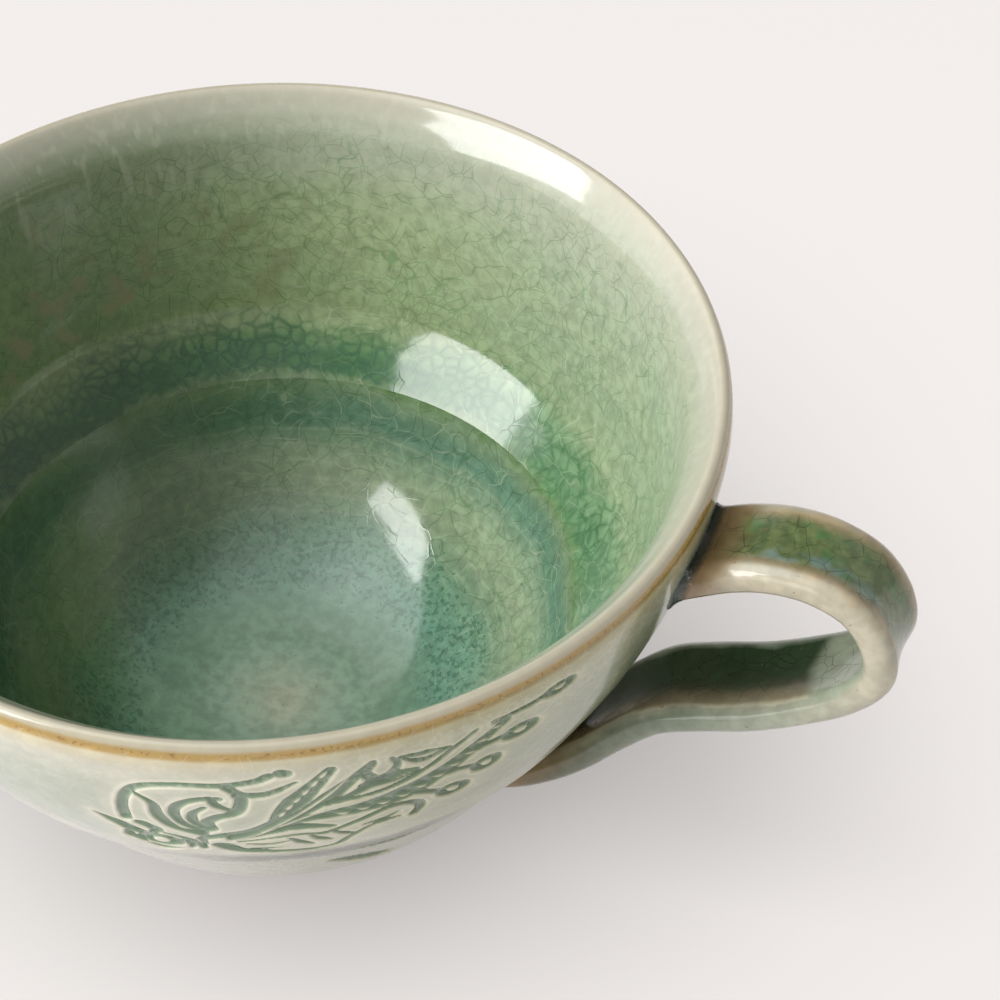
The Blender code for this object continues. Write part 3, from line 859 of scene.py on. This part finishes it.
def make_handle_glaze():
    glaze = Glaze("handle_glaze", 0.12, 1.6)
    share, outer, gap = glaze.mark("share"), glaze.mark("outer"), glaze.mark("gap")
    place = glaze.math("ADD", glaze.mark("across"), glaze.wander(4, 1, 0.09))
    # the hollow along the outer face: olive and deep green between tan borders
    blotches = glaze.band(glaze.noise(1.3, 2, 4.0), 0.32, 0.66)
    green = glaze.mix((0.12, 0.155, 0.062), (0.07, 0.10, 0.04), blotches)
    green = glaze.mix(green, (0.05, 0.15, 0.05), glaze.band(glaze.noise(2.6, 12), 0.53, 0.68, 0.0, 0.6))
    blue = glaze.band(glaze.noise(3.5, 9), 0.45, 0.6)
    blue = glaze.math("MULTIPLY", blue, glaze.between(place, 0.1, 0.4, 0.5, 0.68))
    green = glaze.mix(green, (0.17, 0.25, 0.24), glaze.math("MULTIPLY", blue, 0.6))
    cream = glaze.mix((0.40, 0.33, 0.22), (0.36, 0.35, 0.27), glaze.band(glaze.noise(3, 4), 0.35, 0.65))
    width = glaze.math("ABSOLUTE", place)
    on_outer = glaze.mix(green, (0.24, 0.19, 0.105), glaze.band(width, 0.4, 0.7))
    on_outer = glaze.mix(on_outer, cream, glaze.band(width, 0.58, 0.85))
    bend = glaze.between(share, 0.36, 0.39, 0.42, 0.46)
    bend = glaze.math("MULTIPLY", bend, glaze.band(width, 0.9, 0.3))
    on_outer = glaze.mix(on_outer, (0.38, 0.23, 0.09), glaze.math("MULTIPLY", bend, 0.7))
    on_outer = glaze.mix(on_outer, (0.24, 0.27, 0.20), glaze.band(share, 0.43, 0.50, 0.0, 0.85))
    # the hollow along the inner face of the lower limb: near black, with brown on one side
    on_inner = glaze.ramp(place, [
        (-1.0, (0.40, 0.44, 0.36)), (-0.74, (0.32, 0.38, 0.29)), (-0.62, (0.02, 0.055, 0.02)),
        (0.12, (0.018, 0.045, 0.016)), (0.28, (0.05, 0.06, 0.03)), (0.48, (0.18, 0.15, 0.085)),
        (0.7, (0.30, 0.26, 0.17)), (0.78, (0.46, 0.44, 0.33)), (0.82, (0.33, 0.34, 0.26)),
        (1.0, (0.32, 0.36, 0.27)),
    ])
    deep = glaze.band(glaze.math("ADD", share, glaze.math("MULTIPLY", width, 0.02)), 0.462, 0.485, 1.0, 0.0)
    on_inner = glaze.mix(on_inner, (0.33, 0.37, 0.28), deep)
    colour = glaze.mix(on_inner, on_outer, glaze.band(outer, -0.15, 0.15))
    # the sides, then brown beside the joints, and near black on the inner face beside them: dark glaze with
    # painted shade between the handle and the wall
    sides = glaze.ramp(share, [
        (0.0, (0.40, 0.35, 0.25)), (0.36, (0.40, 0.37, 0.28)), (0.52, (0.30, 0.33, 0.25)),
        (0.66, (0.17, 0.205, 0.145)), (0.86, (0.085, 0.09, 0.05)), (1.0, (0.26, 0.17, 0.07)),
    ])
    colour = glaze.mix(colour, sides, glaze.band(width, 0.82, 0.95))
    brown = glaze.math("MAXIMUM", glaze.band(outer, -0.3, 0.3), glaze.band(place, 0.15, 0.5))
    # by the wall: near black on the inner face, dark glaze with painted shade, and brown on the outer face and
    # one side
    tip = glaze.mix((0.015, 0.028, 0.014), (0.21, 0.135, 0.06), brown)
    colour = glaze.mix(colour, tip, glaze.band(gap, 5.5, 1.4, 0.0, 0.9))
    lines = glaze.band(glaze.cracks(2.4, 5, 3.0), 0.0, 0.035, 1.0, 0.0)
    shown = glaze.band(glaze.noise(4, 13), 0.4, 0.55, 0.3, 1.0)
    shown = glaze.math("MULTIPLY", glaze.band(width, 0.75, 0.5), shown)
    lines = glaze.math("MULTIPLY", lines, shown)
    colour = glaze.tint(colour, (0.36, 0.40, 0.33), glaze.math("MULTIPLY", lines, 0.8))
    specks = glaze.specks(0.7, 7, 0.3)
    colour = glaze.mix(colour, (0.16, 0.11, 0.06), glaze.math("MULTIPLY", specks, 0.6))
    mottle = glaze.band(glaze.noise(1.8, 6, 2.0), 0.3, 0.7, 0.88, 1.1)
    colour = glaze.scale(colour, mottle)
    return glaze.finish(colour, glaze.noise(1.6, 8), 0.05)


def make_joint_glaze(name, seam, rim):
    glaze = Glaze(name, 0.07, 1.6)
    edge = glaze.math("ADD", glaze.mark("edge"), glaze.wander(2.0, 1, 0.08))
    colour = glaze.ramp(edge, [(0.5, seam), (0.8, (0.06, 0.05, 0.03)), (1.0, rim)])
    return glaze.finish(colour, glaze.noise(0.6, 2), 0.2)


def make_clay():
    clay = Glaze("bare_clay", 0.85, 1.45)
    colour = clay.mix((0.42, 0.30, 0.18), (0.30, 0.19, 0.10), clay.band(clay.noise(3, 1, 4.0), 0.35, 0.65))
    colour = clay.mix(colour, (0.14, 0.09, 0.05), clay.math("MULTIPLY", clay.specks(0.7, 2, 0.35), 0.7))
    return clay.finish(colour, clay.noise(0.4, 3, 5.0), 0.06)


# ---------------------------------------------------------------- floor, light and camera

FLOOR_SIZE = 6  # metres
FLOOR_COLOUR = (0.12, 0.1165, 0.115)  # a mid grey, which looks pale only under the floor's own lamps
LAMP_DISTANCE = 3.0  # metres from the cup's middle
CUP_MIDDLE = np.array([AXIS_X, 0, 30]) * MM

# Lamps: name, azimuth and elevation in degrees, width and height in metres, and radiance.
WINDOW = ("window", -135.5, 31.0, 1.9, 1.33, 6.6)
SOFTBOX = ("front_softbox", -112, 12, 3.4, 1.7, 2.0)
TABLE_KEY = ("table_key", -80, 64, 2.4, 2.4, 19.5)
TABLE_FILL = ("table_fill", 0, 88, 3.0, 3.0, 15.6)
TABLE_TINT = (1, 0.985, 0.975)

SKY = 0.5
SKY_TINT = (1, 0.99, 0.98)
# Soft lobes of light from the studio: azimuth, elevation, the reach of the full and of the last light,
# and radiance. The last one takes light away from the sky.
LOBES = [(195, 40, 12, 50, 2.0), (-100, 76, 10, 42, 0.9), (116, 48, 14, 44, -0.44)]

CAMERA_LENS = 92.61
CAMERA_PLACE = (0.0827, -0.1723, 0.2485)
CAMERA_TILT = 43.49  # degrees up from straight down
CAMERA_TURN = 21  # degrees round from looking along +Y


def make_table():
    table = bpy.data.materials.new("pale_table")
    table.use_nodes = True
    shader = table.node_tree.nodes["Principled BSDF"]
    shader.inputs["Base Color"].default_value = (*FLOOR_COLOUR, 1)
    shader.inputs["Roughness"].default_value = 0.9
    shader.inputs["Specular IOR Level"].default_value = 0.0
    return table


def make_floor():
    bpy.ops.mesh.primitive_plane_add(size=FLOOR_SIZE)
    floor = bpy.context.object
    floor.name = "floor"
    floor.data.materials.append(make_table())


def way_to(azimuth, elevation):
    """The direction from the cup at these angles, one long."""
    a, e = math.radians(azimuth), math.radians(elevation)
    return np.array([math.cos(e) * math.cos(a), math.cos(e) * math.sin(a), math.sin(e)])


def soft_light(name, azimuth, elevation, width, height, radiance, colour=(1, 1, 1)):
    """A rectangle of light that faces the cup. radiance is its own brightness."""
    light = bpy.data.lights.new(name, "AREA")
    light.shape = "RECTANGLE"
    light.size = width
    light.size_y = height
    light.energy = radiance * width * height * math.pi
    light.color = colour
    lamp = bpy.data.objects.new(name, light)
    bpy.context.scene.collection.objects.link(lamp)
    lamp.location = CUP_MIDDLE + LAMP_DISTANCE * way_to(azimuth, elevation)
    lamp.rotation_euler = Euler((math.radians(90 - elevation), 0, math.radians(azimuth + 90)), "XYZ")
    return lamp


def shine_only_on(lamp, pieces):
    lit = bpy.data.collections.new("lit_by_" + lamp.name)
    for piece in pieces:
        lit.objects.link(piece)
    lamp.light_linking.receiver_collection = lit


def make_lamps():
    """The window lights the cup, the softbox its outside, and two lamps only the floor."""
    floor = bpy.data.objects["floor"]
    meshes = [piece for piece in bpy.context.scene.collection.objects if piece.type == "MESH"]
    cup = [piece for piece in meshes if piece != floor]
    outside = [piece for piece in cup if piece.name not in ("bowl_inside_wall", "bowl_well")]
    shine_only_on(soft_light(*WINDOW), cup)
    shine_only_on(soft_light(*SOFTBOX), outside)
    shine_only_on(soft_light(*TABLE_KEY, TABLE_TINT), [floor])
    fill = soft_light(*TABLE_FILL, TABLE_TINT)
    shine_only_on(fill, [floor])
    # the cup casts no shadow in the fill
    fill.light_linking.blocker_collection = fill.light_linking.receiver_collection


def make_sky():
    """An even sky with soft lobes, as one strength that depends on the direction."""
    world = bpy.data.worlds.new("studio")
    world.use_nodes = True
    nodes, links = world.node_tree.nodes, world.node_tree.links
    direction = nodes.new("ShaderNodeTexCoord").outputs["Generated"]
    total = None
    for azimuth, elevation, full, last, radiance in LOBES:
        near = nodes.new("ShaderNodeVectorMath")
        near.operation = "DOT_PRODUCT"
        links.new(direction, near.inputs[0])
        near.inputs[1].default_value = tuple(way_to(azimuth, elevation))
        lobe = nodes.new("ShaderNodeMapRange")
        lobe.interpolation_type = "SMOOTHSTEP"
        links.new(near.outputs["Value"], lobe.inputs["Value"])
        lobe.inputs["From Min"].default_value = math.cos(math.radians(last))
        lobe.inputs["From Max"].default_value = math.cos(math.radians(full))
        lobe.inputs["To Max"].default_value = radiance
        added = nodes.new("ShaderNodeMath")
        links.new(lobe.outputs["Result"], added.inputs[0])
        if total is None:
            added.inputs[1].default_value = SKY
        else:
            links.new(total, added.inputs[1])
        total = added.outputs["Value"]
    background = nodes["Background"]
    background.inputs["Color"].default_value = (*SKY_TINT, 1)
    links.new(total, background.inputs["Strength"])
    bpy.context.scene.world = world


def make_camera():
    camera = bpy.data.cameras.new("camera")
    camera.sensor_width = 36
    camera.lens = CAMERA_LENS
    eye = bpy.data.objects.new("camera", camera)
    bpy.context.scene.collection.objects.link(eye)
    eye.location = CAMERA_PLACE
    eye.rotation_euler = Euler((math.radians(CAMERA_TILT), 0, math.radians(CAMERA_TURN)), "XYZ")
    bpy.context.scene.camera = eye


# ---------------------------------------------------------------- the scene

wall_glaze = make_outside_glaze("wall_glaze", WALL_COLOURS, False)
belly_glaze = make_outside_glaze("belly_glaze", BELLY_COLOURS, True)

make_inside(make_inside_glaze())
make_outside(wall_glaze)
make_belly(belly_glaze)
make_foot(make_clay())
make_handle(make_handle_glaze())
upper_glaze = make_joint_glaze("upper_joint_glaze", (0.012, 0.028, 0.024), (0.20, 0.13, 0.06))
lower_glaze = make_joint_glaze("lower_joint_glaze", (0.03, 0.035, 0.02), (0.26, 0.16, 0.07))
make_joint("upper_joint_glaze", "upper_handle_joint", upper_glaze, True, 1.25, 0.8)
make_joint("lower_joint_glaze", "lower_handle_joint", lower_glaze, False, 1.9, 1.0)
make_floor()
make_lamps()
make_sky()
make_camera()
bpy.context.scene.view_settings.view_transform = "Standard"
